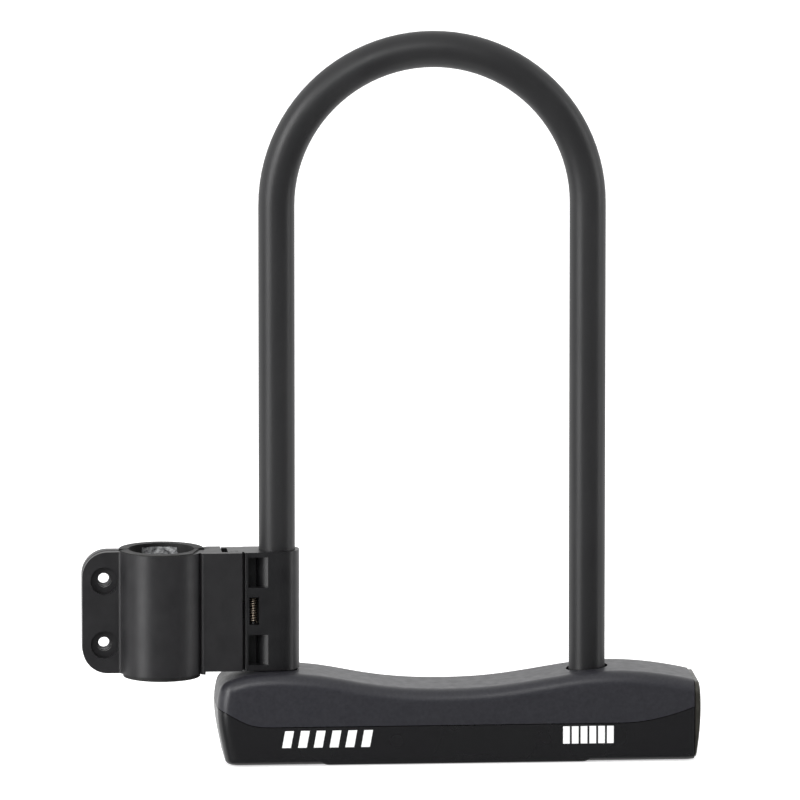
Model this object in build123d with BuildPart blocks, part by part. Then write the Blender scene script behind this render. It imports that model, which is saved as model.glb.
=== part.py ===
"""U lock with a quick-release frame bracket, built as an assembly of separate pieces.

Frame: +X along the crossbar towards the key end, +Y towards the back, +Z up along the shackle.
The origin is on the underside of the foot, midway between the shackle legs. Millimetres.
The lock stands unlocked with its shackle fully home.
"""
from build123d import *
import os

# ---------------------------------------------------------------- driving dimensions
LEG_PITCH = 120.0          # between the shackle leg axes
LEG_X = LEG_PITCH / 2
SHACKLE_R = 7.0            # over the vinyl sleeve
CORE_R = 6.0               # steel core
BEND_R = LEG_X             # centre line of the bend
BEND_Z = 215.75            # height of the bend's centre
FOOT_Z = 6.6               # lowest point of the steel feet
SLEEVE_Z = 28.2            # where the vinyl sleeve starts

BAR_LEFT = -83.8           # widest point of the left end
BAR_RIGHT = 100.35         # right end of the casing, where the end cap starts
BAR_HALF = 17.25           # half depth of the casing
BAR_BASE = 0.25            # underside of the casing beside the foot
SHOULDER_R = 5.0           # rounding along the long top edges
LOWER_R = 2.2              # rounding along the long bottom edges
CORNER_R = 5.6             # rounding of the upright end edges
WALL = 2.0                 # casing wall
SEAM_Z = 15.2              # parting line along the middle
SEAM_GAP = 0.3
LIP = 0.95                 # thickness of the overlapping lips at the parting line
LIP_H = 1.8
FOOT_LEFT, FOOT_RIGHT = -46.0, 62.0
FOOT_H = 6.0
FOOT_END_R = 5.0
FOOT_MID = (FOOT_LEFT + FOOT_RIGHT) / 2
PAD_LENGTH, PAD_WIDTH, PAD_DEPTH = 92.0, 26.0, 1.35
FOOT_UNDER = 0.15          # underside of the foot, a little above the rubber pad's
BASE_END = 97.0            # where the underside starts to rise towards the key end
RIB = 1.8
COVER_RIBS = (-34.0, -8.0, 18.0, 40.0, 86.0)
SHELL_RIBS = (-70.0, -34.0, -8.0, 18.0, 40.0, 78.0, 92.0)
LEG_HOLE_R = 8.1
GUIDE_R = 10.0             # nylon ring round each leg
GUIDE_TOP = 31.0
GUIDE_BASE = 27.0

AXIS_Z = 14.4              # axis of the tube, the locking bar and the lock cylinder
TUBE_R = 12.0
TUBE_BORE_R = 9.5
TUBE_LEFT, TUBE_RIGHT = -75.4, 99.0
FIT = 0.06                 # radial clearance of running fits
BAR_R = 3.5                # locking bar
FLAT = 4.4                 # its thickness across the flats
FLAT_LENGTH = 14.4
BAR_ENDS = (-71.0, 69.6)

HOUSING_LEFT, HOUSING_RIGHT = 70.0, 98.3
PLUG_R = 6.5
DISC_R = 4.9
DISC_T = 1.3
DISC_PITCH = 2.4
DISC_COUNT = 9
PLUG_LEFT, PLUG_RIGHT = 72.4, 98.2
DISC_X = 74.9
SIDEBAR_R = 0.9
SIDEBAR_AT = 5.5           # sidebar's distance from the axis
SIDEBAR_X = (75.0, 95.6)
KEY_SLOT = (1.8, 7.2)
KEY_OPENING_R = 4.0
TANG, TANG_DEPTH = 1.6, 2.2
CROSS_BORE_R = 3.7
PEG_R = 1.25
PLUG_PIN_X = -73.3
HOUSING_PIN_X = 84.0
END_PLUG_LENGTH = 6.8
CAP_IN, CAP_OUT = 100.7, 102.8
CAP_CURVE_R, CAP_CURVE_Z = 107.0, 21.0   # the cap's face is slightly domed from top to bottom
RIM_LEFT = 99.2
KEYHOLE_R = 4.5
SHUTTER_LIFT = 9.5
SHUTTER_LEFT, SHUTTER_T = 99.75, 0.75
SHUTTER_HALF, SHUTTER_HEIGHT, SHUTTER_Z0 = 5.5, 10.25, 9.15
NUB_HALF = 1.2
RAIL_MID, RAIL_LENGTH = 18.4, 19.6

BRACKET_Z0, BRACKET_Z1 = 36.0, 82.15     # carrier and the plate that slides over it
CLAMP_Z0, CLAMP_Z1 = 34.9, 82.2          # clamp ring and ears
SLEEVE_R = 8.6             # outside of the carrier round the leg
CARRIER_LEFT = -73.0
TONGUE_LEFT = -79.2
CARRIER_BACK = 6.2
TONGUE_FRONT = -6.3
RAIL_X, RAIL_NECK, RAIL_HEAD = -76.9, 1.4, 2.8   # rail on the plate, which the tongue grips
POCKET_X, POCKET_W, POCKET_H, POCKET_D, POCKET_Y = -67.75, 7.7, 11.9, 8.4, -6.4
POCKET_Z = (44.05, 74.35)
WINDOW_X, WINDOW_W, WINDOW_H = -69.35, 3.7, 10.8
PIN_X, PIN_Y = -69.6, -5.4
PIN_LENGTH = 17.0
SPRING_R, WIRE_R, SPRING_PITCH = 1.35, 0.32, 0.95
SPRING_Z0, SPRING_HEIGHT = 54.6, 9.5
LEVER_HUB_R = 2.1
LEVER_LEFT, LEVER_RIGHT = -72.2, -70.4
TAB_LEFT, TAB_Y, TAB_T = -77.6, 7.4, 1.4
NOSE_MID, NOSE_H, NOSE_LEFT, NOSE_TIP_Y = 59.3, 6.0, -75.0, -7.4
PIN_R = 0.8
CAGE_Z0, CAGE_Z1 = 53.0, 65.6
CAGE_LEFT, CAGE_RIGHT = -72.6, -67.2
CLAMP_X = -104.6
CLAMP_BORE_R = 12.7        # for a 25.4 mm tube
LINER_R = 14.4
CLAMP_R = 16.4
PLATE_LEFT, PLATE_RIGHT = -90.0, -73.9
PLATE_FRONT, PLATE_BACK = -9.5, -6.5
WALL_RIGHT, WALL_BACK = -81.6, 2.4
SPLIT = 0.6                # half of the gap between the clamp halves
EAR_LEFT = -135.3
EAR_FRONT = -3.9
EAR_BACK = 5.2
HOLE_X = -126.8
HOLE_SPACING = 25.0
HOLE_R = 2.75              # clearance hole for an M5 screw
SINK_R, SINK_DEPTH = 5.35, 2.2
EAR_R = 9.8
NUT_R, NUT_T, NUT_BORE_R = 4.62, 3.4, 2.55  # M5 hex nut, radius over the corners
PAD_Z = (41.0, 81.4)
GRIP_WIDTH = 14.0
LOW_FLANGE_R = 14.9
BRACKET_MID = 59.05
CLAMP_MID = (CLAMP_Z0 + CLAMP_Z1) / 2
HOLES_Z = (CLAMP_MID - HOLE_SPACING / 2, CLAMP_MID + HOLE_SPACING / 2)
HINGE_X, HINGE_Y = -86.0, 5.0
KNUCKLE_R = 2.3
HINGE_PIN_R = 1.0
KNUCKLE_Z = (51.5, 66.5)   # stretch of the hinge that the back half takes
FLANGE_TOP = 0.6
FLANGE_DROP = 1.7

# ---------------------------------------------------------------- crossbar outlines
# Points of the casing's top line, from the left end over both humps to the right end.
TOP_LINE = [
    (-82.0, 31.6), (-73.5, 34.6), (-61.0, 35.6), (-41.6, 34.1), (-27.7, 31.5), (-13.9, 29.6),
    (4.7, 28.8), (23.1, 29.6), (41.6, 32.1), (55.0, 34.1), (69.3, 35.0), (92.4, 32.8), (106.0, 29.7),
]
# Left end, from the base up.
LEFT_LINE = [(-80.6, BAR_BASE), (-82.6, 10.3), (BAR_LEFT, 22.0), (-82.0, 31.6)]
# Parting line, flat along the middle and rising at both ends.
SEAM_LEFT = [(-90.0, 24.4), (-81.0, 21.0), (-74.0, 17.2), (-62.0, SEAM_Z)]
SEAM_RIGHT = [(72.0, SEAM_Z), (88.0, 17.2), (97.0, 19.9), (108.0, 24.2)]


def bar_block(inset, right):
    """The casing's outside, or the same form smaller by inset on every side, cut off at right."""
    corner = Vector(TOP_LINE[0]) + Vector(inset, -inset)
    top_points = [corner] + [Vector(x, z - inset) for x, z in TOP_LINE[1:]]
    left_points = [Vector(LEFT_LINE[0]) + Vector(inset, inset)]
    left_points += [Vector(x + inset, z) for x, z in LEFT_LINE[1:-1]] + [corner]
    with BuildPart() as block:
        with BuildSketch(Plane.XZ):
            with BuildLine():
                top = Spline(*top_points)
                left = Spline(*left_points)
                base = Line(left @ 0, (BASE_END, BAR_BASE + inset))
                rise = TangentArc(base @ 1, (106.0, BAR_BASE + inset + 2.4), tangent=(1, 0))
                Line(rise @ 1, top @ 1)
            make_face()
        extrude(amount=BAR_HALF - inset, both=True)
        with BuildSketch(Plane.XY.offset(-5)):
            with Locations(((right - 100) / 2, 0)):
                Rectangle(right + 100, 60)
        extrude(amount=60, mode=Mode.INTERSECT)
        upright = block.edges().filter_by(lambda e: abs(e.tangent_at(0.5).Z) > 0.8)
        fillet(upright.filter_by(lambda e: e.center().X < 0), CORNER_R - inset)
        for direction, radius in ((1, SHOULDER_R), (-1, LOWER_R)):
            capping = block.faces().filter_by(lambda f: direction * f.normal_at().Z > 0.7)
            rim = capping.edges().filter_by(lambda e: e.center().X < right - 0.01)
            rim = rim.filter_by(lambda e: abs(e.center().Y) > 1 or e.center().X < 0)
            fillet(rim, max(radius - inset, 0.5))
    return block.part


def seam_half(shift, far):
    """The space on one side of the parting line moved up by shift, out to the height far."""
    with BuildPart() as half:
        with BuildSketch(Plane.XZ):
            with BuildLine():
                left = Spline(*[(x, z + shift) for x, z in SEAM_LEFT], tangents=[(1, -0.3), (1, 0)])
                right = Spline(*[(x, z + shift) for x, z in SEAM_RIGHT], tangents=[(1, 0), (1, 0.4)])
                Line(left @ 1, right @ 0)
                Polyline(left @ 0, ((left @ 0).X, far), ((right @ 1).X, far), right @ 1)
            make_face()
        extrude(amount=40, both=True)
    return half.part


def cradle(positions, z0, z1):
    """Ribs across the casing between two heights, hollowed to hold the tube."""
    with BuildPart() as ribs:
        with Locations(*[(x, 0, (z0 + z1) / 2) for x in positions]):
            Box(RIB, 2 * BAR_HALF, z1 - z0)
        add(rib_limit, mode=Mode.INTERSECT)
        with Locations((0, 0, AXIS_Z)):
            Cylinder(TUBE_R + FIT, 400, rotation=(0, 90, 0), mode=Mode.SUBTRACT)
    return ribs.part


outer = bar_block(0, BAR_RIGHT)
inner = bar_block(WALL, BAR_RIGHT + 3)
rib_limit = bar_block(WALL - 0.1, BAR_RIGHT - 2)
lip_face = bar_block(WALL - LIP, BAR_RIGHT)
rebate_face = bar_block(WALL - LIP - 0.15, BAR_RIGHT + 3)
above_seam = seam_half(SEAM_GAP / 2, 60)
below_seam = seam_half(-SEAM_GAP / 2, -20)
above_lip = seam_half(LIP_H, 60)
above_rebate = seam_half(LIP_H + 0.2, 60)
rebate = rebate_face - above_rebate
lip = (lip_face - inner) & (seam_half(-1, 60) - above_lip)
cover_cradle = cradle(COVER_RIBS, SEAM_Z + LIP_H + 1, 40)
shell_cradle = cradle(SHELL_RIBS, 0, SEAM_Z - 1)

# ---------------------------------------------------------------- top cover
with BuildPart() as guide_seats:
    with Locations((-LEG_X, 0, 28), (LEG_X, 0, 28)):
        Cylinder(GUIDE_R + 1.5, 14)
    add(rib_limit, mode=Mode.INTERSECT)
    with Locations((0, 0, AXIS_Z)):
        Cylinder(TUBE_R + FIT, 400, rotation=(0, 90, 0), mode=Mode.SUBTRACT)

with BuildPart() as top_cover:
    add(outer)
    add(inner, mode=Mode.SUBTRACT)
    add(above_seam, mode=Mode.INTERSECT)
    add(guide_seats.part)
    add(cover_cradle)
    add(rebate, mode=Mode.SUBTRACT)
    with Locations((-LEG_X, 0, 0), (LEG_X, 0, 0)):
        Cylinder(LEG_HOLE_R, 100, mode=Mode.SUBTRACT)
        with Locations((0, 0, GUIDE_TOP + 0.05 - 20)):
            Cylinder(GUIDE_R + 0.05, 40, mode=Mode.SUBTRACT)
top_cover.part.label = "top_cover"

# ---------------------------------------------------------------- lower shell with its foot
with BuildPart() as foot:
    with BuildSketch(Plane.XZ):
        with Locations(((FOOT_LEFT + FOOT_RIGHT) / 2, (FOOT_UNDER + FOOT_H) / 2)):
            Rectangle(FOOT_RIGHT - FOOT_LEFT, FOOT_H - FOOT_UNDER)
        fillet(vertices().group_by(Axis.Y)[0], FOOT_END_R)
    extrude(amount=BAR_HALF - 0.05, both=True)
    fillet(faces().sort_by(Axis.Z)[0].edges().filter_by(Axis.X), 0.8)

with BuildPart() as lower_shell:
    add(outer)
    add(below_seam, mode=Mode.INTERSECT)
    add(foot.part)
    add(inner, mode=Mode.SUBTRACT)
    add(lip)
    add(shell_cradle)
    with Locations((TUBE_LEFT + 200, 0, AXIS_Z)):
        Cylinder(TUBE_R + FIT, 400.4, rotation=(0, 90, 0), mode=Mode.SUBTRACT)
    with BuildSketch(Plane.XY):
        with Locations((FOOT_MID, 0)):
            RectangleRounded(PAD_LENGTH + 0.4, PAD_WIDTH + 0.4, 4.2)
    extrude(amount=PAD_DEPTH + 0.05, mode=Mode.SUBTRACT)
lower_shell.part.label = "lower_shell"

with BuildPart() as base_pad:
    with BuildSketch(Plane.XY):
        with Locations((FOOT_MID, 0)):
            RectangleRounded(PAD_LENGTH, PAD_WIDTH, 4)
    extrude(amount=PAD_DEPTH)
    fillet(base_pad.faces().sort_by(Axis.Z)[0].edges(), 0.3)
base_pad.part.label = "base_pad"

# ---------------------------------------------------------------- steel tube and what it holds
with BuildPart() as crossbar_tube:
    with BuildSketch(Plane.YZ.offset(TUBE_LEFT)):
        with Locations((0, AXIS_Z)):
            Circle(TUBE_R)
            Circle(TUBE_BORE_R, mode=Mode.SUBTRACT)
    extrude(amount=TUBE_RIGHT - TUBE_LEFT)
    with Locations((-LEG_X, 0, AXIS_Z + 10), (LEG_X, 0, AXIS_Z + 10)):
        Cylinder(CORE_R + 0.08, 20, mode=Mode.SUBTRACT)
    with Locations((HOUSING_PIN_X, 0, AXIS_Z - 10)):
        Cylinder(PEG_R + 0.02, 20, mode=Mode.SUBTRACT)
    with Locations((PLUG_PIN_X, 0, AXIS_Z)):
        Cylinder(PEG_R + 0.02, 40, rotation=(90, 0, 0), mode=Mode.SUBTRACT)
crossbar_tube.part.label = "crossbar_tube"

with BuildPart() as left_end_plug:
    with BuildSketch(Plane.YZ.offset(TUBE_LEFT)):
        with Locations((0, AXIS_Z)):
            Circle(TUBE_BORE_R - 0.03)
    extrude(amount=END_PLUG_LENGTH)
    with BuildSketch(Plane.YZ.offset(BAR_ENDS[0] - 0.4)):
        with Locations((0, AXIS_Z)):
            Circle(BAR_R + FIT)
    extrude(amount=END_PLUG_LENGTH, mode=Mode.SUBTRACT)
    with Locations((PLUG_PIN_X, 0, AXIS_Z)):
        Cylinder(PEG_R + 0.02, 40, rotation=(90, 0, 0), mode=Mode.SUBTRACT)
left_end_plug.part.label = "left_end_plug"

with BuildPart() as plug_pin:
    with Locations((PLUG_PIN_X, 0, AXIS_Z)):
        Cylinder(PEG_R, 2 * TUBE_R - 0.6, rotation=(90, 0, 0))
    chamfer(edges(), 0.3)
plug_pin.part.label = "plug_pin"

with BuildPart() as bar_bearing:
    with BuildSketch(Plane.YZ.offset(-3)):
        with Locations((0, AXIS_Z)):
            Circle(TUBE_BORE_R - 0.05)
            Circle(BAR_R + FIT, mode=Mode.SUBTRACT)
            with PolarLocations(6.6, 6):
                Circle(1.5, mode=Mode.SUBTRACT)
    extrude(amount=6)
bar_bearing.part.label = "bar_bearing"

with BuildPart() as leg_guides:
    with BuildSketch(Plane.XY.offset(GUIDE_BASE)):
        with Locations((-LEG_X, 0), (LEG_X, 0)):
            Circle(GUIDE_R)
            Circle(SHACKLE_R + 0.08, mode=Mode.SUBTRACT)
    extrude(amount=GUIDE_TOP - GUIDE_BASE)
leg_guides.part.label = "leg_guides"

with BuildPart() as lock_housing:
    with BuildSketch(Plane.YZ.offset(HOUSING_LEFT)):
        with Locations((0, AXIS_Z)):
            Circle(TUBE_BORE_R - 0.05)
            Circle(BAR_R + FIT, mode=Mode.SUBTRACT)
    extrude(amount=HOUSING_RIGHT - HOUSING_LEFT)
    with BuildSketch(Plane.YZ.offset(PLUG_LEFT - 0.2)):
        with Locations((0, AXIS_Z)):
            Circle(PLUG_R + FIT)
    extrude(amount=40, mode=Mode.SUBTRACT)
    with Locations((HOUSING_PIN_X, 0, AXIS_Z - 10)):
        Cylinder(PEG_R + 0.02, 20 - 2 * (PLUG_R + 0.6), mode=Mode.SUBTRACT)
lock_housing.part.label = "lock_housing"

with BuildPart() as housing_pin:
    with BuildSketch(Plane.XY.offset(AXIS_Z - TUBE_R + 0.3)):
        with Locations((HOUSING_PIN_X, 0)):
            Circle(PEG_R)
    extrude(amount=TUBE_R - PLUG_R - 1.2)
housing_pin.part.label = "housing_pin"

with BuildPart() as drill_plate:
    with BuildSketch(Plane.YZ.offset(HOUSING_RIGHT)):
        with Locations((0, AXIS_Z)):
            Circle(TUBE_BORE_R - 0.05)
            Circle(KEY_OPENING_R, mode=Mode.SUBTRACT)
    extrude(amount=0.6)
drill_plate.part.label = "drill_plate"

# ---------------------------------------------------------------- key plug with discs and sidebar
with BuildPart() as key_plug:
    with BuildSketch(Plane.YZ.offset(PLUG_LEFT)):
        with Locations((0, AXIS_Z)):
            Circle(PLUG_R)
    extrude(amount=PLUG_RIGHT - PLUG_LEFT)
    with BuildSketch(Plane.YZ.offset(PLUG_LEFT + 1.6)):
        with Locations((0, AXIS_Z)):
            Circle(DISC_R + 0.08)
    extrude(amount=PLUG_RIGHT - PLUG_LEFT - 2.8, mode=Mode.SUBTRACT)
    with BuildSketch(Plane.YZ.offset(PLUG_RIGHT - 2)):
        with Locations((0, AXIS_Z)):
            Rectangle(KEY_SLOT[0], KEY_SLOT[1])
    extrude(amount=4, mode=Mode.SUBTRACT)
    with BuildSketch(Plane.YZ.offset(SIDEBAR_X[0] - 0.2)):
        with Locations((0, AXIS_Z + PLUG_R)):
            Rectangle(2 * SIDEBAR_R + 0.1, 4)
    extrude(amount=SIDEBAR_X[1] - SIDEBAR_X[0] + 0.4, mode=Mode.SUBTRACT)
    with BuildSketch(Plane.YZ.offset(HOUSING_LEFT + 0.1)):
        with Locations((0, AXIS_Z)):
            Circle(BAR_R)
    extrude(amount=PLUG_LEFT - HOUSING_LEFT)
    with BuildSketch(Plane.YZ.offset(BAR_ENDS[1] - TANG_DEPTH + 0.2)):
        with Locations((0, AXIS_Z)):
            Rectangle(TANG - 0.1, 2 * BAR_R - 0.9)
    extrude(amount=TANG_DEPTH + 1)
key_plug.part.label = "key_plug"

with BuildPart() as lock_discs:
    for i in range(DISC_COUNT):
        with BuildSketch(Plane.YZ.offset(DISC_X + i * DISC_PITCH)):
            with Locations((0, AXIS_Z)):
                Circle(DISC_R)
                Rectangle(KEY_SLOT[0] + 0.6, KEY_SLOT[1] - 0.6, mode=Mode.SUBTRACT)
            with Locations((0, AXIS_Z + SIDEBAR_AT)):
                Circle(SIDEBAR_R + 0.06, mode=Mode.SUBTRACT)
        extrude(amount=DISC_T)
lock_discs.part.label = "lock_discs"

with BuildPart() as sidebar:
    with BuildSketch(Plane.YZ.offset(SIDEBAR_X[0])):
        with Locations((0, AXIS_Z + SIDEBAR_AT)):
            Circle(SIDEBAR_R)
    extrude(amount=SIDEBAR_X[1] - SIDEBAR_X[0])
sidebar.part.label = "sidebar"

# ---------------------------------------------------------------- locking bar
with BuildPart() as locking_bar:
    with BuildSketch(Plane.YZ.offset(BAR_ENDS[0])):
        with Locations((0, AXIS_Z)):
            Circle(BAR_R)
    extrude(amount=BAR_ENDS[1] - BAR_ENDS[0])
    chamfer(edges(), 0.3)
    for x in (-LEG_X, LEG_X):
        for side in (-1, 1):
            with Locations((x, side * (FLAT / 2 + 2), AXIS_Z)):
                Box(FLAT_LENGTH, 4, 10, mode=Mode.SUBTRACT)
    with Locations((BAR_ENDS[1], 0, AXIS_Z)):
        Box(2 * TANG_DEPTH, TANG, 10, mode=Mode.SUBTRACT)
locking_bar.part.label = "locking_bar"

# ---------------------------------------------------------------- end cap and keyway shutter
cap_section = bar_block(0, CAP_OUT).faces().sort_by(Axis.X)[-1]
rim_section = bar_block(WALL + 0.15, CAP_OUT).faces().sort_by(Axis.X)[-1]
rim_inside = bar_block(WALL + 1.35, CAP_OUT).faces().sort_by(Axis.X)[-1]
with BuildPart() as rim:
    extrude(rim_section, amount=RIM_LEFT - CAP_OUT, dir=(1, 0, 0))
    extrude(rim_inside, amount=RIM_LEFT - CAP_OUT - 1, dir=(1, 0, 0), mode=Mode.SUBTRACT)
    with Locations((CAP_IN, 0, AXIS_Z + 15)):
        Box(10, 2 * SHUTTER_HALF + 3.4, 20, mode=Mode.SUBTRACT)
    with Locations((CAP_IN + 10, 0, AXIS_Z)):
        Box(20, 60, 60, mode=Mode.SUBTRACT)

with BuildPart() as end_cap:
    extrude(cap_section, amount=CAP_IN - CAP_OUT, dir=(1, 0, 0))
    with Locations((CAP_OUT - CAP_CURVE_R, 0, CAP_CURVE_Z)):
        Cylinder(CAP_CURVE_R, 60, rotation=(90, 0, 0), mode=Mode.INTERSECT)
    fillet(faces().sort_by(Axis.X)[-1].edges(), 0.8)
    add(rim.part)
    for side in (-1, 1):
        with Locations(((RIM_LEFT + CAP_IN) / 2, side * (SHUTTER_HALF + 0.8), RAIL_MID)):
            Box(CAP_IN - RIM_LEFT, 1.2, RAIL_LENGTH)
    with Locations(((RIM_LEFT + CAP_IN) / 2, 0, SHUTTER_Z0 - 0.6)):
        Box(CAP_IN - RIM_LEFT, 2 * SHUTTER_HALF + 2.8, 1)
    with BuildSketch(Plane.YZ.offset(CAP_IN - 1)):
        with Locations((0, AXIS_Z)):
            Circle(KEYHOLE_R)
        with Locations((0, AXIS_Z + (SHUTTER_LIFT + 0.2) / 2)):
            SlotCenterToCenter(SHUTTER_LIFT + 0.2, 2 * NUB_HALF + 0.8, rotation=90)
    extrude(amount=5, mode=Mode.SUBTRACT)
end_cap.part.label = "end_cap"

with BuildPart() as keyway_shutter:
    with BuildSketch(Plane.YZ.offset(SHUTTER_LEFT)):
        with Locations((0, SHUTTER_Z0 + SHUTTER_HEIGHT / 2)):
            RectangleRounded(2 * SHUTTER_HALF, SHUTTER_HEIGHT, 1)
    extrude(amount=SHUTTER_T)
    with BuildSketch(Plane.YZ.offset(SHUTTER_LEFT)):
        with Locations((0, AXIS_Z)):
            Circle(NUB_HALF)
    extrude(amount=CAP_OUT + 0.6 - SHUTTER_LEFT)
    fillet(faces().sort_by(Axis.X)[-1].edges(), 0.4)
keyway_shutter.part.label = "keyway_shutter"

# ---------------------------------------------------------------- shackle
with BuildPart() as shackle_core:
    with BuildLine():
        up = Line((-LEG_X, 0, FOOT_Z), (-LEG_X, 0, BEND_Z))
        bend = ThreePointArc(up @ 1, (0, 0, BEND_Z + BEND_R), (LEG_X, 0, BEND_Z))
        Line(bend @ 1, (LEG_X, 0, FOOT_Z))
    with BuildSketch(Plane.XY.offset(FOOT_Z)):
        with Locations((-LEG_X, 0)):
            Circle(CORE_R)
    sweep()
    chamfer(faces().filter_by(Plane.XY).sort_by(Axis.Z)[:2].edges(), 1)
    for x in (-LEG_X, LEG_X):
        with Locations((x, 0, AXIS_Z)):
            Cylinder(CROSS_BORE_R, 20, rotation=(0, 90, 0), mode=Mode.SUBTRACT)
        with Locations((x, 0, FOOT_Z / 2)):
            Box(20, FLAT + 0.4, 2 * AXIS_Z - FOOT_Z, mode=Mode.SUBTRACT)
shackle_core.part.label = "shackle_core"

with BuildPart() as shackle_sleeve:
    with BuildLine():
        up = Line((-LEG_X, 0, SLEEVE_Z), (-LEG_X, 0, BEND_Z))
        bend = ThreePointArc(up @ 1, (0, 0, BEND_Z + BEND_R), (LEG_X, 0, BEND_Z))
        Line(bend @ 1, (LEG_X, 0, SLEEVE_Z))
    with BuildSketch(Plane.XY.offset(SLEEVE_Z)):
        with Locations((-LEG_X, 0)):
            Circle(SHACKLE_R)
            Circle(CORE_R + 0.02, mode=Mode.SUBTRACT)
    sweep()
shackle_sleeve.part.label = "shackle_sleeve"

# ---------------------------------------------------------------- carrier round the left leg
HEIGHT = BRACKET_Z1 - BRACKET_Z0

# core-out pockets above and below the window, which leave the round wall of the leg bore
with BuildPart() as pockets:
    with Locations(*[(POCKET_X, POCKET_Y, z) for z in POCKET_Z]):
        Box(POCKET_W, POCKET_D, POCKET_H)
    with Locations((-LEG_X, 0, BRACKET_MID)):
        Cylinder(SLEEVE_R - 0.1, 80, mode=Mode.SUBTRACT)

# cage for the latch lever, open to the back
with BuildPart() as cage:
    with Locations(((CAGE_LEFT + CAGE_RIGHT) / 2, -0.1, (CAGE_Z0 + CAGE_Z1) / 2)):
        Box(CAGE_RIGHT - CAGE_LEFT, 15.0, CAGE_Z1 - CAGE_Z0)
    with Locations((-LEG_X, 0, BRACKET_MID)):
        Cylinder(SLEEVE_R + 0.05, 80, mode=Mode.SUBTRACT)

with BuildPart() as leg_carrier:
    with BuildSketch(Plane.XY.offset(BRACKET_Z0)):
        with Locations((-LEG_X, 0)):
            Circle(SLEEVE_R)
        with Locations(((CARRIER_LEFT - LEG_X) / 2, (CARRIER_BACK - SLEEVE_R) / 2)):
            Rectangle(-LEG_X - CARRIER_LEFT, CARRIER_BACK + SLEEVE_R)
        with Locations(((TONGUE_LEFT + CARRIER_LEFT) / 2, (CARRIER_BACK - 0.6 + TONGUE_FRONT) / 2)):
            Rectangle(CARRIER_LEFT - TONGUE_LEFT + 0.1, CARRIER_BACK - 0.6 - TONGUE_FRONT)
        with Locations(((WALL_RIGHT + 0.3 + TONGUE_LEFT) / 2, CARRIER_BACK - 1.9)):
            Rectangle(TONGUE_LEFT - WALL_RIGHT - 0.2, 2.6)
        with Locations((-LEG_X, 0)):
            Circle(SHACKLE_R + FIT, mode=Mode.SUBTRACT)
        with Locations((RAIL_X, TONGUE_FRONT)):
            Rectangle(RAIL_NECK + 0.3, 4, mode=Mode.SUBTRACT)
        with Locations((RAIL_X, PLATE_BACK + 1.9)):
            Rectangle(RAIL_HEAD + 0.3, 1.7, mode=Mode.SUBTRACT)
    extrude(amount=HEIGHT)
    outside = edges().filter_by(Axis.Z).filter_by_position(Axis.X, CARRIER_LEFT - 0.1, CARRIER_LEFT + 0.1)
    fillet(outside.sort_by(Axis.Y)[0], 0.8)
    add(pockets.part, mode=Mode.SUBTRACT)
    add(cage.part, mode=Mode.SUBTRACT)
    with Locations((WINDOW_X, -SLEEVE_R, BRACKET_MID + 0.25)):
        Box(WINDOW_W, 3, WINDOW_H, mode=Mode.SUBTRACT)
    with Locations((TONGUE_LEFT + 4.2, PLATE_BACK + 1.2, NOSE_MID)):
        Box(6.4, 3.2, NOSE_H + 1.2, mode=Mode.SUBTRACT)
    with Locations((PIN_X, PIN_Y, (CAGE_Z0 + CAGE_Z1) / 2)):
        Cylinder(PIN_R + 0.03, PIN_LENGTH + 0.1, mode=Mode.SUBTRACT)
leg_carrier.part.label = "leg_carrier"

with BuildPart() as latch_pin:
    with Locations((PIN_X, PIN_Y, (CAGE_Z0 + CAGE_Z1) / 2)):
        Cylinder(PIN_R, PIN_LENGTH)
latch_pin.part.label = "latch_pin"

with BuildPart() as latch_spring:
    with BuildLine(Plane(origin=(PIN_X, PIN_Y, SPRING_Z0))):
        coil = Helix(SPRING_PITCH, SPRING_HEIGHT, SPRING_R)
    with BuildSketch(Plane(origin=coil @ 0, z_dir=coil % 0)):
        Circle(WIRE_R)
    sweep(path=coil, is_frenet=True)
latch_spring.part.label = "latch_spring"

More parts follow.
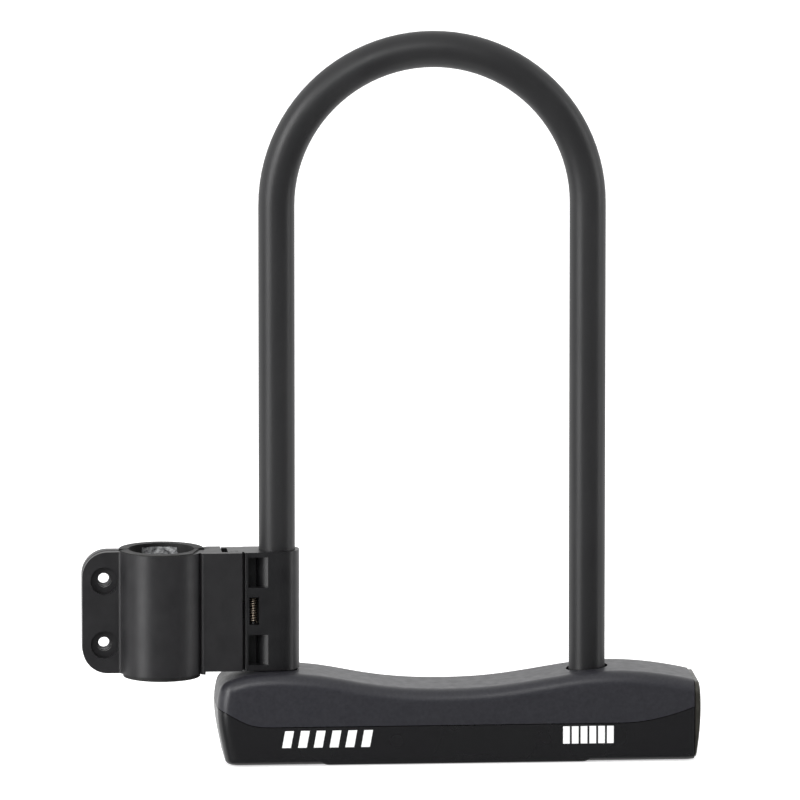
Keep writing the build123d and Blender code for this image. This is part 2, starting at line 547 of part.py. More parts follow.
with BuildPart() as latch_lever:
    with BuildSketch(Plane.XY.offset(CAGE_Z0 + 0.2)):
        with Locations((PIN_X, PIN_Y)):
            Circle(LEVER_HUB_R)
        with Locations(((LEVER_LEFT + PIN_X) / 2, PIN_Y + 0.3)):
            Rectangle(PIN_X - LEVER_LEFT, 3.4)
    extrude(amount=CAGE_Z1 - CAGE_Z0 - 0.4)
    with Locations((PIN_X, PIN_Y, (CAGE_Z0 + CAGE_Z1) / 2)):
        Cylinder(SPRING_R + WIRE_R + 0.2, CAGE_Z1 - CAGE_Z0 - 2.2, mode=Mode.SUBTRACT)
    with Locations((WINDOW_X + 0.6, PIN_Y - 2, (CAGE_Z0 + CAGE_Z1) / 2)):
        Box(5.2, 4, CAGE_Z1 - CAGE_Z0 - 2.2, mode=Mode.SUBTRACT)
    with BuildSketch(Plane.XY.offset(CAGE_Z0 + 0.2)):
        with Locations(((LEVER_LEFT + LEVER_RIGHT) / 2, (PIN_Y + 1.9 + TAB_Y) / 2)):
            Rectangle(LEVER_RIGHT - LEVER_LEFT, TAB_Y - PIN_Y - 1.9)
        with Locations(((TAB_LEFT + LEVER_RIGHT) / 2, TAB_Y)):
            Rectangle(LEVER_RIGHT - TAB_LEFT, TAB_T)
    extrude(amount=CAGE_Z1 - CAGE_Z0 - 0.4)
    with BuildSketch(Plane.XY.offset(NOSE_MID - NOSE_H / 2)):
        with BuildLine():
            Polyline(
                (LEVER_LEFT + 0.6, PIN_Y + 1.0), (NOSE_LEFT, PIN_Y + 0.2), (NOSE_LEFT, NOSE_TIP_Y),
                (NOSE_LEFT + 0.7, NOSE_TIP_Y), (NOSE_LEFT + 1.9, PLATE_BACK + 0.2),
                (LEVER_LEFT + 0.6, PLATE_BACK + 0.4), (LEVER_LEFT + 0.6, PIN_Y + 1.0),
            )
        make_face()
    extrude(amount=NOSE_H)
    with Locations((PIN_X, PIN_Y, (CAGE_Z0 + CAGE_Z1) / 2)):
        Cylinder(PIN_R + FIT, 30, mode=Mode.SUBTRACT)
    for i in range(4):
        with Locations((TAB_LEFT + 0.8 + 1.3 * i, TAB_Y + TAB_T / 2, (CAGE_Z0 + CAGE_Z1) / 2)):
            Cylinder(0.35, CAGE_Z1 - CAGE_Z0 - 2)
latch_lever.part.label = "latch_lever"

# ---------------------------------------------------------------- frame clamp, front half
with BuildPart() as clamp_front:
    with BuildSketch(Plane.XY.offset(CLAMP_Z0)):
        with Locations(((PLATE_LEFT + WALL_RIGHT) / 2, (PLATE_FRONT + WALL_BACK) / 2)):
            Rectangle(WALL_RIGHT - PLATE_LEFT, WALL_BACK - PLATE_FRONT)
        with Locations(((HINGE_X + WALL_RIGHT) / 2, (HINGE_Y + KNUCKLE_R + WALL_BACK) / 2 - 0.05)):
            Rectangle(WALL_RIGHT - HINGE_X, HINGE_Y + KNUCKLE_R - WALL_BACK + 0.1)
        with Locations((HINGE_X, HINGE_Y)):
            Circle(KNUCKLE_R)
        with Locations((CLAMP_X, 0)):
            Circle(CLAMP_R + 0.4, mode=Mode.SUBTRACT)
        with BuildSketch(mode=Mode.PRIVATE) as front_ring:
            with Locations((CLAMP_X, 0)):
                Circle(CLAMP_R)
            with Locations((CLAMP_X, -SPLIT + 30)):
                Rectangle(80, 60, mode=Mode.SUBTRACT)
        add(front_ring.sketch)
        with Locations(((PLATE_LEFT - 3 + WALL_RIGHT) / 2, (PLATE_FRONT + 2 - SPLIT) / 2)):
            Rectangle(WALL_RIGHT - PLATE_LEFT + 3, -SPLIT - PLATE_FRONT - 2)
        with Locations(((EAR_LEFT + CLAMP_X) / 2, (EAR_FRONT - SPLIT) / 2)):
            Rectangle(CLAMP_X - EAR_LEFT, -EAR_FRONT - SPLIT)
        with Locations(((PLATE_LEFT + PLATE_RIGHT) / 2, (PLATE_FRONT + PLATE_BACK) / 2)):
            Rectangle(PLATE_RIGHT - PLATE_LEFT, PLATE_BACK - PLATE_FRONT)
        with Locations((RAIL_X, PLATE_BACK + 0.6)):
            Rectangle(RAIL_NECK, 1.4)
        with Locations((RAIL_X, PLATE_BACK + 1.9)):
            Rectangle(RAIL_HEAD, 1.4)
        with Locations((CLAMP_X, 0)):
            Circle(LINER_R, mode=Mode.SUBTRACT)
    extrude(amount=CLAMP_Z1 - CLAMP_Z0)
    for z in (BRACKET_Z0 - 5, BRACKET_Z1 + 5):
        with Locations((CLAMP_X + CLAMP_R + 20.05, 0, z)):
            Box(40, 60, 10, mode=Mode.SUBTRACT)
    upright = edges().filter_by(Axis.Z)
    root = upright.filter_by_position(Axis.Y, EAR_FRONT - 0.01, EAR_FRONT + 0.01)
    fillet(root.filter_by_position(Axis.X, CLAMP_X - CLAMP_R, CLAMP_X), 1.5)
    shoulder = edges().filter_by(Axis.Z).filter_by_position(Axis.Y, PLATE_FRONT - 0.01, PLATE_FRONT + 0.01)
    fillet(shoulder.sort_by(Axis.X)[0], 1.4)
    fillet(shoulder.sort_by(Axis.X)[-1], 0.4)
    corners = edges().filter_by(Axis.Y).filter_by_position(Axis.X, EAR_LEFT - 0.01, EAR_LEFT + 0.01)
    fillet(corners.sort_by(Axis.Z)[-1], EAR_R)
    fillet(corners.sort_by(Axis.Z)[0], EAR_R)
    for z in HOLES_Z:
        with Locations((HOLE_X, EAR_FRONT, z)):
            Cylinder(HOLE_R, 20, rotation=(90, 0, 0), mode=Mode.SUBTRACT)
            Cylinder(SINK_R, 2 * SINK_DEPTH, rotation=(90, 0, 0), mode=Mode.SUBTRACT)
    with Locations((HINGE_X - 0.5, HINGE_Y + 0.35, BRACKET_MID)):
        Box(5.6, 2 * KNUCKLE_R + 0.7, KNUCKLE_Z[1] - KNUCKLE_Z[0], mode=Mode.SUBTRACT)
    with Locations((HINGE_X, HINGE_Y, BRACKET_MID)):
        Cylinder(HINGE_PIN_R + 0.02, HEIGHT - 1, mode=Mode.SUBTRACT)
    with Locations((PLATE_RIGHT, PLATE_BACK - 0.1, NOSE_MID)):
        Box(2.8, 2.2, NOSE_H + 0.8, mode=Mode.SUBTRACT)
clamp_front.part.label = "clamp_front"

with BuildPart() as hinge_pin:
    with Locations((HINGE_X, HINGE_Y, BRACKET_MID)):
        Cylinder(HINGE_PIN_R, HEIGHT - 1.2)
hinge_pin.part.label = "hinge_pin"


def liner_half(side):
    """Half of the rubber liner with its flanges, on the front (side -1) or the back (side 1)."""
    with BuildPart() as liner:
        for z0, z1, radius in (
            (CLAMP_Z0 - FLANGE_DROP, CLAMP_Z0 - 0.02, LOW_FLANGE_R),
            (CLAMP_Z0 - FLANGE_DROP, CLAMP_Z1 + FLANGE_TOP, LINER_R - 0.03),
            (CLAMP_Z1 + 0.02, CLAMP_Z1 + FLANGE_TOP, CLAMP_R),
        ):
            with BuildSketch(Plane.XY.offset(z0)):
                with Locations((CLAMP_X, 0)):
                    Circle(radius)
            extrude(amount=z1 - z0)
        with Locations((CLAMP_X, 0, BRACKET_MID)):
            Cylinder(CLAMP_BORE_R, 80, mode=Mode.SUBTRACT)
        with Locations((CLAMP_X, side * (20 + SPLIT), BRACKET_MID)):
            Box(80, 40, 80, mode=Mode.INTERSECT)
    return liner.part


front_blank = liner_half(-1)
back_blank = liner_half(1)

# the front flange stops short of the split at both ends
with BuildPart() as liner_front:
    add(front_blank)
    with BuildSketch(Plane.XY.offset(CLAMP_Z1 + 0.02)):
        with BuildLine():
            Polyline((-92.9, -10), (-89.9, 0), (-80, 0), (-80, -20), (-92.9, -20), (-92.9, -10))
        make_face()
        with BuildLine():
            Polyline((-121.4, -4.5), (-118.6, 0), (-125, 0), (-125, -4.5), (-121.4, -4.5))
        make_face()
    extrude(amount=2, mode=Mode.SUBTRACT)
liner_front.part.label = "liner_front"

# ---------------------------------------------------------------- frame clamp, back half
with BuildPart() as clamp_back:
    with BuildSketch(Plane.XY.offset(CLAMP_Z0)):
        with Locations((CLAMP_X, 0)):
            Circle(CLAMP_R)
        with Locations(((EAR_LEFT + CLAMP_X) / 2, (EAR_BACK + SPLIT) / 2)):
            Rectangle(CLAMP_X - EAR_LEFT, EAR_BACK - SPLIT)
        with Locations((CLAMP_X, SPLIT - 30)):
            Rectangle(80, 60, mode=Mode.SUBTRACT)
        with Locations((CLAMP_X, 0)):
            Circle(LINER_R, mode=Mode.SUBTRACT)
    extrude(amount=CLAMP_Z1 - CLAMP_Z0)
    with BuildSketch(Plane.XY.offset(KNUCKLE_Z[0] + 0.25)):
        with Locations((HINGE_X, HINGE_Y)):
            Circle(KNUCKLE_R)
        with Locations((HINGE_X - 2.5, HINGE_Y)):
            Rectangle(5, 2 * KNUCKLE_R - 0.1)
        with Locations((CLAMP_X, 0)):
            Circle(CLAMP_R - 0.5, mode=Mode.SUBTRACT)
    extrude(amount=KNUCKLE_Z[1] - KNUCKLE_Z[0] - 0.5)
    corners = edges().filter_by(Axis.Y).filter_by_position(Axis.X, EAR_LEFT - 0.01, EAR_LEFT + 0.01)
    fillet(corners.sort_by(Axis.Z)[-1], EAR_R)
    fillet(corners.sort_by(Axis.Z)[0], EAR_R)
    with Locations((HINGE_X, HINGE_Y, BRACKET_MID)):
        Cylinder(HINGE_PIN_R + FIT, HEIGHT, mode=Mode.SUBTRACT)
    for z in HOLES_Z:
        with Locations((HOLE_X, EAR_BACK, z)):
            Cylinder(HOLE_R, 20, rotation=(90, 0, 0), mode=Mode.SUBTRACT)
        with BuildSketch(Plane.XZ.offset(-EAR_BACK)):
            with Locations((HOLE_X, z)):
                RegularPolygon(NUT_R + 0.1, 6, rotation=30)
        extrude(amount=NUT_T + 0.1, mode=Mode.SUBTRACT)
clamp_back.part.label = "clamp_back"

with BuildPart() as pad_arc:
    with BuildSketch(Plane.XY.offset(PAD_Z[0])):
        with Locations((CLAMP_X, 0)):
            Circle(CLAMP_BORE_R + 0.9)
            Circle(CLAMP_BORE_R + 0.01, mode=Mode.SUBTRACT)
        with Locations((CLAMP_X, 20)):
            Rectangle(GRIP_WIDTH, 40, mode=Mode.INTERSECT)
    extrude(amount=PAD_Z[1] - PAD_Z[0])
grip_pad = pad_arc.part
grip_pad.label = "grip_pad"

with BuildPart() as liner_back:
    add(back_blank)
    with Locations((CLAMP_X, CLAMP_BORE_R, (PAD_Z[0] + PAD_Z[1]) / 2)):
        Box(GRIP_WIDTH + 0.1, 8, PAD_Z[1] - PAD_Z[0] + 0.1, mode=Mode.SUBTRACT)
    with BuildSketch(Plane.XY.offset(PAD_Z[0] - 2)):
        with Locations((CLAMP_X, 0)):
            Circle(LINER_R - 0.03)
            Circle(CLAMP_BORE_R + 0.93, mode=Mode.SUBTRACT)
        with Locations((CLAMP_X, 20)):
            Rectangle(GRIP_WIDTH + 1, 40, mode=Mode.INTERSECT)
    extrude(amount=CLAMP_Z1 - PAD_Z[0] + 2)
liner_back.part.label = "liner_back"

with BuildPart() as clamp_nuts:
    for z in HOLES_Z:
        with BuildSketch(Plane.XZ.offset(-EAR_BACK + 0.1)):
            with Locations((HOLE_X, z)):
                RegularPolygon(NUT_R, 6, rotation=30)
                Circle(NUT_BORE_R, mode=Mode.SUBTRACT)
        extrude(amount=NUT_T)
clamp_nuts.part.label = "clamp_nuts"

# ---------------------------------------------------------------- export
PIECES = [
    top_cover.part, lower_shell.part, base_pad.part, crossbar_tube.part, left_end_plug.part,
    plug_pin.part, bar_bearing.part, leg_guides.part, lock_housing.part, housing_pin.part,
    drill_plate.part, key_plug.part, lock_discs.part, sidebar.part, locking_bar.part, end_cap.part,
    keyway_shutter.part, shackle_core.part, shackle_sleeve.part, leg_carrier.part, latch_pin.part,
    latch_spring.part, latch_lever.part, clamp_front.part, hinge_pin.part, liner_front.part,
    clamp_back.part, liner_back.part, grip_pad, clamp_nuts.part,
]
os.makedirs("parts", exist_ok=True)
for piece in PIECES:
    export_step(piece, f"parts/{piece.label}.step")
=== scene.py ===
import math

import bpy
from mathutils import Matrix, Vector, noise as field


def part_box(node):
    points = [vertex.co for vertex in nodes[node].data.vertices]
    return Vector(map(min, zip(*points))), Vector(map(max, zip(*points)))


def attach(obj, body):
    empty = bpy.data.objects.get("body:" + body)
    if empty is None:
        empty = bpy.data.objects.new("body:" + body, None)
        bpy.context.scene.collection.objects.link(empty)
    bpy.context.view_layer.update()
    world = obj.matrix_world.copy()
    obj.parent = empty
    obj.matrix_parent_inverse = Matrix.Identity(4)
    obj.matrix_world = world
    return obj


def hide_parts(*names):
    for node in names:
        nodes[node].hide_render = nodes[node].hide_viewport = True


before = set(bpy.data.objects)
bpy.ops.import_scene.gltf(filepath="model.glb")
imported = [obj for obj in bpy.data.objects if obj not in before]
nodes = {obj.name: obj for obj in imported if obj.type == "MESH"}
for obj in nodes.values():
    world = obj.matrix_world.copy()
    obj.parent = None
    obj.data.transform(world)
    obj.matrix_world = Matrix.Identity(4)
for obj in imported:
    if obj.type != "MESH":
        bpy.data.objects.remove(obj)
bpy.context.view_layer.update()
scene = bpy.context.scene


# ------------------------------------------------------------------ materials
def shader(name, color, roughness, metallic=0.0, **sockets):
    """A material with one Principled shader; sockets are further values set on it."""
    mat = bpy.data.materials.new(name)
    mat.use_nodes = True
    bsdf = mat.node_tree.nodes["Principled BSDF"]
    bsdf.inputs["Base Color"].default_value = (*color, 1)
    bsdf.inputs["Roughness"].default_value = roughness
    bsdf.inputs["Metallic"].default_value = metallic
    for key, value in sockets.items():
        bsdf.inputs[key.replace("_", " ")].default_value = value
    return mat


def add(mat, kind):
    """A new node in a material."""
    return mat.node_tree.nodes.new(kind)


def link(mat, a, b):
    """Join an output to an input in a material."""
    mat.node_tree.links.new(a, b)


def noise(mat, scale, detail=3.0, stretch=(1, 1, 1), roughness=0.5):
    """A noise pattern in object space; scale is in cells per metre."""
    coord = add(mat, "ShaderNodeTexCoord")
    mapping = add(mat, "ShaderNodeMapping")
    mapping.inputs["Scale"].default_value = stretch
    tex = add(mat, "ShaderNodeTexNoise")
    tex.inputs["Scale"].default_value = scale
    tex.inputs["Detail"].default_value = detail
    tex.inputs["Roughness"].default_value = roughness
    link(mat, coord.outputs["Object"], mapping.inputs["Vector"])
    link(mat, mapping.outputs["Vector"], tex.inputs["Vector"])
    return tex.outputs["Fac"]


NOISE_LOW, NOISE_HIGH = 0.3, 0.7           # a noise pattern rarely leaves these


def spread(mat, pattern, low, high):
    """The noise pattern stretched to low..high."""
    ramp = add(mat, "ShaderNodeMapRange")
    ramp.inputs["From Min"].default_value = NOISE_LOW
    ramp.inputs["From Max"].default_value = NOISE_HIGH
    ramp.inputs["To Min"].default_value = low
    ramp.inputs["To Max"].default_value = high
    link(mat, pattern, ramp.inputs["Value"])
    return ramp.outputs["Result"]


def bump(mat, layers):
    """Bump from a list of (pattern, strength, height in metres), one on top of the other."""
    normal = None
    for pattern, strength, height in layers:
        node = add(mat, "ShaderNodeBump")
        node.inputs["Strength"].default_value = strength
        node.inputs["Distance"].default_value = height
        link(mat, pattern, node.inputs["Height"])
        if normal:
            link(mat, normal, node.inputs["Normal"])
        normal = node.outputs["Normal"]
    link(mat, normal, mat.node_tree.nodes["Principled BSDF"].inputs["Normal"])


def vary(mat, socket, pattern, low, high):
    """Let the pattern move one of the shader's values between low and high."""
    link(mat, spread(mat, pattern, low, high), mat.node_tree.nodes["Principled BSDF"].inputs[socket])


def tint(mat, pattern, dark, light, start=NOISE_LOW, end=NOISE_HIGH):
    """Base colour between two colours by the pattern."""
    ramp = add(mat, "ShaderNodeValToRGB")
    ramp.color_ramp.elements[0].position = start
    ramp.color_ramp.elements[0].color = (*dark, 1)
    ramp.color_ramp.elements[1].position = end
    ramp.color_ramp.elements[1].color = (*light, 1)
    link(mat, pattern, ramp.inputs["Fac"])
    link(mat, ramp.outputs["Color"], mat.node_tree.nodes["Principled BSDF"].inputs["Base Color"])


soft_touch = shader("soft_touch_charcoal", (0.02, 0.02, 0.024), 0.4, IOR=1.5)
tint(soft_touch, noise(soft_touch, 900, 4), (0.019, 0.019, 0.024), (0.027, 0.027, 0.033))
vary(soft_touch, "Roughness", noise(soft_touch, 300, 3), 0.34, 0.42)
bump(soft_touch, [(noise(soft_touch, 2600, 3), 0.25, 0.00005)])

satin_shell = shader("satin_black_shell", (0.0115, 0.0115, 0.0125), 0.26, IOR=1.5)
vary(satin_shell, "Roughness", noise(satin_shell, 45, 2), 0.24, 0.29)
bump(satin_shell, [(noise(satin_shell, 900, 2), 0.06, 0.00002)])

vinyl = shader("vinyl_sleeve", (0.018, 0.018, 0.019), 0.42, IOR=1.46)
tint(vinyl, noise(vinyl, 60, 4, (1, 1, 0.3)), (0.015, 0.015, 0.016), (0.021, 0.021, 0.022))
vary(vinyl, "Roughness", noise(vinyl, 90, 4, (1, 1, 0.25)), 0.38, 0.47)
bump(vinyl, [(noise(vinyl, 2600, 3, (1, 1, 0.35)), 0.25, 0.00004)])

nylon_black = shader("moulded_black_nylon", (0.012, 0.012, 0.013), 0.36, IOR=1.5)
tint(nylon_black, noise(nylon_black, 150, 4), (0.009, 0.009, 0.010), (0.013, 0.013, 0.014))
vary(nylon_black, "Roughness", noise(nylon_black, 200, 3), 0.32, 0.39)
bump(nylon_black, [(noise(nylon_black, 3200, 2), 0.2, 0.00003)])

# the clamp's copy of the black nylon: its base colour is raised as painted light, a lighter tone for the
# extra light the clamp catches. Its roughness is its own.
clamp_nylon_painted_light = shader("clamp_nylon_lightened_as_painted_light", (0.02, 0.02, 0.021), 0.42, IOR=1.5)
tint(clamp_nylon_painted_light, noise(clamp_nylon_painted_light, 150, 4), (0.0145, 0.0142, 0.0155), (0.0195, 0.019, 0.0205))
vary(clamp_nylon_painted_light, "Roughness", noise(clamp_nylon_painted_light, 200, 3), 0.37, 0.44)
bump(clamp_nylon_painted_light, [(noise(clamp_nylon_painted_light, 3200, 2), 0.25, 0.00004)])

rubber = shader("black_rubber", (0.016, 0.016, 0.016), 0.6, IOR=1.45)
tint(rubber, noise(rubber, 400, 4), (0.013, 0.013, 0.013), (0.02, 0.02, 0.02))
vary(rubber, "Roughness", noise(rubber, 150, 3), 0.52, 0.68)
bump(rubber, [(noise(rubber, 2500, 3), 0.4, 0.00004)])

grip = shader("crinkled_grip_pad", (0.4, 0.41, 0.42), 0.45, IOR=1.45)
tint(grip, noise(grip, 420, 6, roughness=0.7), (0.05, 0.05, 0.055), (0.62, 0.63, 0.64), 0.36, 0.62)
bump(grip, [(noise(grip, 700, 6, roughness=0.7), 1.0, 0.0006)])

steel = shader("ground_steel", (0.45, 0.45, 0.46), 0.3, 1.0)
tint(steel, noise(steel, 300, 4, (0.1, 1, 1)), (0.4, 0.4, 0.41), (0.52, 0.52, 0.53))
vary(steel, "Roughness", noise(steel, 800, 3, (0.05, 1, 1)), 0.24, 0.4)
bump(steel, [(noise(steel, 3000, 3, (0.05, 1, 1)), 0.2, 0.00002)])

casting = shader("zinc_casting", (0.36, 0.36, 0.37), 0.45, 1.0)
tint(casting, noise(casting, 200, 5), (0.3, 0.3, 0.31), (0.42, 0.42, 0.43))
vary(casting, "Roughness", noise(casting, 500, 4), 0.38, 0.55)
bump(casting, [(noise(casting, 1500, 4), 0.4, 0.00006)])

brass = shader("turned_brass", (0.6, 0.42, 0.16), 0.3, 1.0)
tint(brass, noise(brass, 250, 4), (0.5, 0.34, 0.12), (0.68, 0.49, 0.2))
vary(brass, "Roughness", noise(brass, 900, 3), 0.22, 0.38)
bump(brass, [(noise(brass, 2500, 3, (1, 0.1, 0.1)), 0.2, 0.00002)])

nylon_natural = shader("natural_nylon", (0.5, 0.49, 0.44), 0.42, IOR=1.52)
tint(nylon_natural, noise(nylon_natural, 150, 3), (0.45, 0.44, 0.39), (0.56, 0.55, 0.5))
vary(nylon_natural, "Roughness", noise(nylon_natural, 300, 3), 0.36, 0.5)
bump(nylon_natural, [(noise(nylon_natural, 2500, 3), 0.3, 0.00003)])

spring_wire = shader("bronzed_spring_wire", (0.5, 0.42, 0.33), 0.36, 1.0)
tint(spring_wire, noise(spring_wire, 1200, 4), (0.4, 0.33, 0.25), (0.62, 0.53, 0.43))
vary(spring_wire, "Roughness", noise(spring_wire, 1500, 3), 0.28, 0.45)
bump(spring_wire, [(noise(spring_wire, 6000, 3), 0.2, 0.00002)])

dark_zinc = shader("dark_zinc_cap", (0.06, 0.058, 0.05), 0.36, 0.6)
tint(dark_zinc, noise(dark_zinc, 220, 4), (0.05, 0.048, 0.041), (0.075, 0.072, 0.062))
vary(dark_zinc, "Roughness", noise(dark_zinc, 300, 4), 0.28, 0.42)
bump(dark_zinc, [(noise(dark_zinc, 2600, 4), 0.3, 0.00003)])

print_white = shader("white_print", (0.86, 0.86, 0.86), 0.5, IOR=1.45)
tint(print_white, noise(print_white, 2500, 3), (0.82, 0.82, 0.82), (0.9, 0.9, 0.9))
vary(print_white, "Roughness", noise(print_white, 1500, 3), 0.42, 0.55)
bump(print_white, [(noise(print_white, 6000, 2), 0.15, 0.00001)])

MATERIAL_OF = {
    "top_cover": soft_touch, "lower_shell": satin_shell, "base_pad": rubber,
    "crossbar_tube": steel, "left_end_plug": steel, "plug_pin": steel, "bar_bearing": nylon_natural,
    "leg_guides": rubber, "lock_housing": casting, "housing_pin": steel, "drill_plate": steel,
    "end_cap": dark_zinc, "key_plug": brass, "lock_discs": brass, "sidebar": steel,
    "locking_bar": steel, "keyway_shutter": dark_zinc, "shackle_core": steel,
    "shackle_sleeve": vinyl, "leg_carrier": nylon_black, "clamp_front": clamp_nylon_painted_light,
    "liner_front": rubber, "latch_pin": steel, "latch_spring": spring_wire,
    "hinge_pin": steel, "latch_lever": nylon_black, "clamp_back": clamp_nylon_painted_light,
    "liner_back": rubber, "grip_pad": grip, "clamp_nuts": steel,
}
for name, mat in MATERIAL_OF.items():
    nodes[name].data.materials.clear()
    nodes[name].data.materials.append(mat)


# ------------------------------------------------------------------ pieces finer than the CAD ones
def grid_piece(name, rings, mat, body, capped, replaced=()):
    """A closed piece from rings of points with equal counts, capped at both ends or joined end to end."""
    count, rows = len(rings[0]), len(rings)
    verts = [p for ring in rings for p in ring]
    faces = []
    for r in range(rows - 1 if capped else rows):
        a, b = r * count, (r + 1) % rows * count
        faces += [(a + i, a + (i + 1) % count, b + (i + 1) % count, b + i) for i in range(count)]
    if capped:
        faces += [tuple(reversed(range(count))), tuple(range((rows - 1) * count, rows * count))]
    mesh = bpy.data.meshes.new(name)
    mesh.from_pydata(verts, [], faces)
    mesh.validate()
    obj = bpy.data.objects.new(name, mesh)
    scene.collection.objects.link(obj)
    bpy.context.view_layer.objects.active = obj
    obj.select_set(True)
    bpy.ops.object.mode_set(mode="EDIT")
    bpy.ops.mesh.select_all(action="SELECT")
    bpy.ops.mesh.normals_make_consistent(inside=False)
    bpy.ops.object.mode_set(mode="OBJECT")
    obj.select_set(False)
    mesh.materials.append(mat)
    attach(obj, body)
    if replaced:
        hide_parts(*replaced)
    return obj


def smooth_by_angle(obj, degrees):
    """Smooth shading, except over edges sharper than the angle."""
    obj.data.shade_smooth()
    obj.data.set_sharp_from_angle(angle=math.radians(degrees))


# the crinkled pad glued to the back of the clamp's bore, as a grid of rows and columns
PAD_LOW, PAD_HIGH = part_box("grip_pad")
CLAMP_X = (PAD_LOW.x + PAD_HIGH.x) / 2
PAD_ROWS, PAD_COLUMNS = 150, 61
PAD_FACE_R, PAD_MID_R, PAD_BACK_R = 0.01276, 0.013, 0.0135
PAD_SPREAD = math.asin(0.0069 / 0.0132)    # half of the angle that it spans
CREASES = 420                              # folds per metre, about
CREASE_DEPTH = 0.00055


def pad_ring(z):
    """The pad's outline at the height z, its crinkled side first."""
    turns = [PAD_SPREAD * (2 * i / (PAD_COLUMNS - 1) - 1) for i in range(PAD_COLUMNS)]
    ring = []
    for turn in turns:
        p = Vector((turn * PAD_MID_R, 0, z)) * CREASES
        crease = abs(field.noise(p)) + 0.5 * abs(field.noise(p * 2.3 + Vector((3, 1, 7))))
        radius = PAD_FACE_R + CREASE_DEPTH * min(1.0, crease * 1.4)
        ring.append((CLAMP_X + radius * math.sin(turn), radius * math.cos(turn), z))
    for turn in reversed(turns):
        ring.append((CLAMP_X + PAD_BACK_R * math.sin(turn), PAD_BACK_R * math.cos(turn), z))
    return ring


pad_heights = [PAD_LOW.z + (PAD_HIGH.z - PAD_LOW.z) * row / (PAD_ROWS - 1) for row in range(PAD_ROWS)]
pad = grid_piece("crinkled_pad", [pad_ring(z) for z in pad_heights], grip, "clamp_back", True, ["grip_pad"])
smooth_by_angle(pad, 50)


# the two captive M5 nuts with their thread
NUTS_LOW, NUTS_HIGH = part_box("clamp_nuts")
NUT_X = (NUTS_LOW.x + NUTS_HIGH.x) / 2
NUT_FRONT, NUT_BACK = NUTS_LOW.y, NUTS_HIGH.y
NUT_R = 0.00462                            # over the corners
NUT_FACE_R = 0.00405                       # round face left by the chamfered corners
NUT_CHAMFER = 0.0003
THREAD_ROOT_R, THREAD_DEPTH, PITCH = 0.00212, 0.00034, 0.0008
THREAD_MOUTH_R = 0.00255
THREAD_STEPS, NUT_SIDES = 44, 60


def hexagon(turn, radius):
    """Distance from the centre to a hexagon's side; radius is over its corners."""
    sector = (turn % (math.pi / 3)) - math.pi / 6
    return radius * math.cos(math.pi / 6) / math.cos(sector)


def thread(turn, y):
    """Radius of the threaded bore at an angle and a depth."""
    wave = abs(((y / PITCH + turn / (2 * math.pi)) % 1) * 2 - 1)
    return THREAD_ROOT_R + THREAD_DEPTH * min(1.0, max(0.0, wave * 1.25 - 0.1))


def nut_ring(y, z0, radius_at):
    """A ring of the nut round the axis at height z0, its radius a function of the angle."""
    turns = [2 * math.pi * i / NUT_SIDES for i in range(NUT_SIDES)]
    return [(NUT_X + radius_at(t) * math.sin(t), y, z0 + radius_at(t) * math.cos(t)) for t in turns]


def threaded_nut(name, z0):
    """A nut as one closed run of rings: through the bore to the back, then along the outside."""
    rings = [nut_ring(NUT_FRONT, z0, lambda t: THREAD_MOUTH_R)]
    for k in range(1, THREAD_STEPS):
        y = NUT_FRONT + (NUT_BACK - NUT_FRONT) * k / THREAD_STEPS
        rings.append(nut_ring(y, z0, lambda t: thread(t, y)))
    rings.append(nut_ring(NUT_BACK, z0, lambda t: THREAD_MOUTH_R))
    rings.append(nut_ring(NUT_BACK, z0, lambda t: min(hexagon(t, NUT_R), NUT_FACE_R)))
    rings.append(nut_ring(NUT_BACK - NUT_CHAMFER, z0, lambda t: hexagon(t, NUT_R)))
    rings.append(nut_ring(NUT_FRONT + NUT_CHAMFER, z0, lambda t: hexagon(t, NUT_R)))
    rings.append(nut_ring(NUT_FRONT, z0, lambda t: min(hexagon(t, NUT_R), NUT_FACE_R)))
    nut = grid_piece(name, rings, steel, "clamp_back", False, ["clamp_nuts"])
    smooth_by_angle(nut, 25)


threaded_nut("threaded_nut_0", NUTS_LOW.z + NUT_R)
threaded_nut("threaded_nut_1", NUTS_HIGH.z - NUT_R)


# ------------------------------------------------------------------ printed marks
MARK_SINK, MARK_THICKNESS = 0.00002, 0.00006
SHELL_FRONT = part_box("lower_shell")[0].y


def mark(name, outline):
    """A thin printed bar with its outline in X and Z, just proud of the lower shell's front."""
    count = len(outline)
    back, front = SHELL_FRONT + MARK_SINK, SHELL_FRONT + MARK_SINK - MARK_THICKNESS
    verts = [(x, back, z) for x, z in outline] + [(x, front, z) for x, z in outline]
    sides = [(i, (i + 1) % count, (i + 1) % count + count, i + count) for i in range(count)]
    mesh = bpy.data.meshes.new(name)
    mesh.from_pydata(verts, [], [tuple(range(count)), tuple(reversed(range(count, 2 * count)))] + sides)
    mesh.update()
    obj = bpy.data.objects.new(name, mesh)
    scene.collection.objects.link(obj)
    mesh.materials.append(print_white)
    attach(obj, "crossbar")


def mark_row(side, start, pitch, width, low, high, slant):
    """Six bars in a row along the crossbar, each leaning by slant."""
    for i in range(6):
        x = start + i * pitch
        mark(f"mark_{side}_{i}", [(x, low), (x + width, low), (x + width + slant, high), (x + slant, high)])


mark_row("left", -0.0592, 0.0061, 0.0034, 0.0072, 0.0138, 0.0012)
mark_row("right", 0.0494, 0.0034, 0.0026, 0.0074, 0.0142, 0)

# ------------------------------------------------------------------ floor, light and camera
FLOOR_SIZE, FLOOR_Z, FLOOR_GLOW = 12, -0.0002, 0.62
bpy.ops.mesh.primitive_plane_add(size=FLOOR_SIZE, location=(0, 0, FLOOR_Z))
floor = bpy.context.object
floor.name = "floor"
floor.visible_glossy = False
floor_mat = shader("pale_floor", (0.9, 0.9, 0.9), 0.8)
floor_bsdf = floor_mat.node_tree.nodes["Principled BSDF"]
floor_bsdf.inputs["Emission Color"].default_value = (1, 1, 1, 1)
floor_bsdf.inputs["Emission Strength"].default_value = FLOOR_GLOW
floor.data.materials.append(floor_mat)

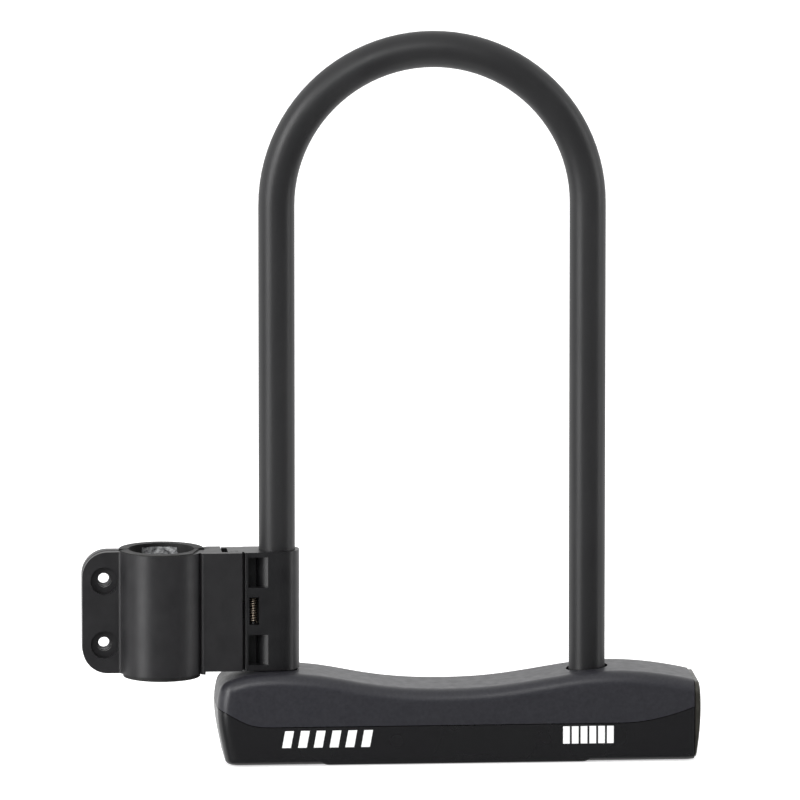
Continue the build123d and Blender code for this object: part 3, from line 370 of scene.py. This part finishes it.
world = bpy.data.worlds.new("studio")
scene.world = world
world.use_nodes = True
sky = world.node_tree
sky_back = sky.nodes["Background"]
sky_coord = sky.nodes.new("ShaderNodeTexCoord")
sky_split = sky.nodes.new("ShaderNodeSeparateXYZ")
sky.links.new(sky_coord.outputs["Generated"], sky_split.inputs["Vector"])


def step(source, dark, bright):
    """0 at and beyond the direction dark, 1 at and beyond bright, smooth between."""
    node = sky.nodes.new("ShaderNodeMapRange")
    node.interpolation_type = "SMOOTHSTEP"
    rising = dark < bright
    node.inputs["From Min"].default_value = min(dark, bright)
    node.inputs["From Max"].default_value = max(dark, bright)
    node.inputs["To Min"].default_value = 0 if rising else 1
    node.inputs["To Max"].default_value = 1 if rising else 0
    sky.links.new(sky_split.outputs[source], node.inputs["Value"])
    return node.outputs["Result"]


def calc(operation, a, b):
    """A maths node of the sky on two values, each a number or a socket."""
    node = sky.nodes.new("ShaderNodeMath")
    node.operation = operation
    for socket, value in zip(node.inputs, (a, b)):
        if isinstance(value, (int, float)):
            socket.default_value = value
        else:
            sky.links.new(value, socket)
    return node.outputs["Value"]


# white behind and at the sides, dim in front, with a soft ceiling and a bright table below
FRONT_LEVEL, SIDE_LEVEL, CEILING_LEVEL = 0.05, 0.75, 0.8
side_band = calc("MULTIPLY", step("Y", -0.62, -0.02), step("Z", -0.3, -0.02))
sides = calc("MULTIPLY", side_band, SIDE_LEVEL)
behind = step("Y", 0.0, 0.3)
above = calc("MULTIPLY", step("Z", 0.55, 0.9), CEILING_LEVEL)
below = step("Z", -0.8, -0.95)
bright = calc("MAXIMUM", calc("MAXIMUM", sides, behind), calc("MAXIMUM", above, below))
level = calc("ADD", calc("MULTIPLY", bright, 1 - FRONT_LEVEL), FRONT_LEVEL)
sky_path = sky.nodes.new("ShaderNodeLightPath")
seen = calc("MAXIMUM", level, sky_path.outputs["Is Camera Ray"])
sky.links.new(seen, sky_back.inputs["Strength"])
sky_back.inputs["Color"].default_value = (1, 1, 1, 1)


def softbox(name, place, target, size, power):
    """A rectangular white area light aimed at a point; size in metres, power in watts."""
    data = bpy.data.lights.new(name, "AREA")
    data.shape = "RECTANGLE"
    data.size, data.size_y = size
    data.energy = power
    obj = bpy.data.objects.new(name, data)
    scene.collection.objects.link(obj)
    obj.location = place
    obj.rotation_mode = "QUATERNION"
    obj.rotation_quaternion = (Vector(target) - Vector(place)).to_track_quat("-Z", "Y")
    return obj


softbox("softbox_left", (-1.5, -0.95, 0.5), (0, 0, 0.12), (0.8, 1.6), 26)
softbox("softbox_right", (1.7, -0.3, 0.5), (0, 0, 0.12), (0.4, 1.6), 8)
softbox("key_front", (-0.5, -2.0, 1.6), (0, 0, 0.1), (1.0, 1.0), 17)

AZIMUTH, ELEVATION, DISTANCE = math.radians(-4.25), math.radians(9.0), 4.45
AIM = Vector((-0.0124, 0, 0.13965))
FOCAL_LENGTH, SENSOR_WIDTH = 520, 36       # in millimetres
reach = math.cos(ELEVATION)
away = Vector((math.sin(AZIMUTH) * reach, -math.cos(AZIMUTH) * reach, math.sin(ELEVATION)))
camera_data = bpy.data.cameras.new("camera")
camera_data.sensor_width = SENSOR_WIDTH
camera_data.lens = FOCAL_LENGTH
camera_data.clip_start, camera_data.clip_end = 0.1, 50
camera = bpy.data.objects.new("camera", camera_data)
scene.collection.objects.link(camera)
scene.camera = camera
camera.location = AIM + away * DISTANCE
camera.rotation_mode = "QUATERNION"
camera.rotation_quaternion = (-away).to_track_quat("-Z", "Y")
scene.view_settings.view_transform = "Standard"
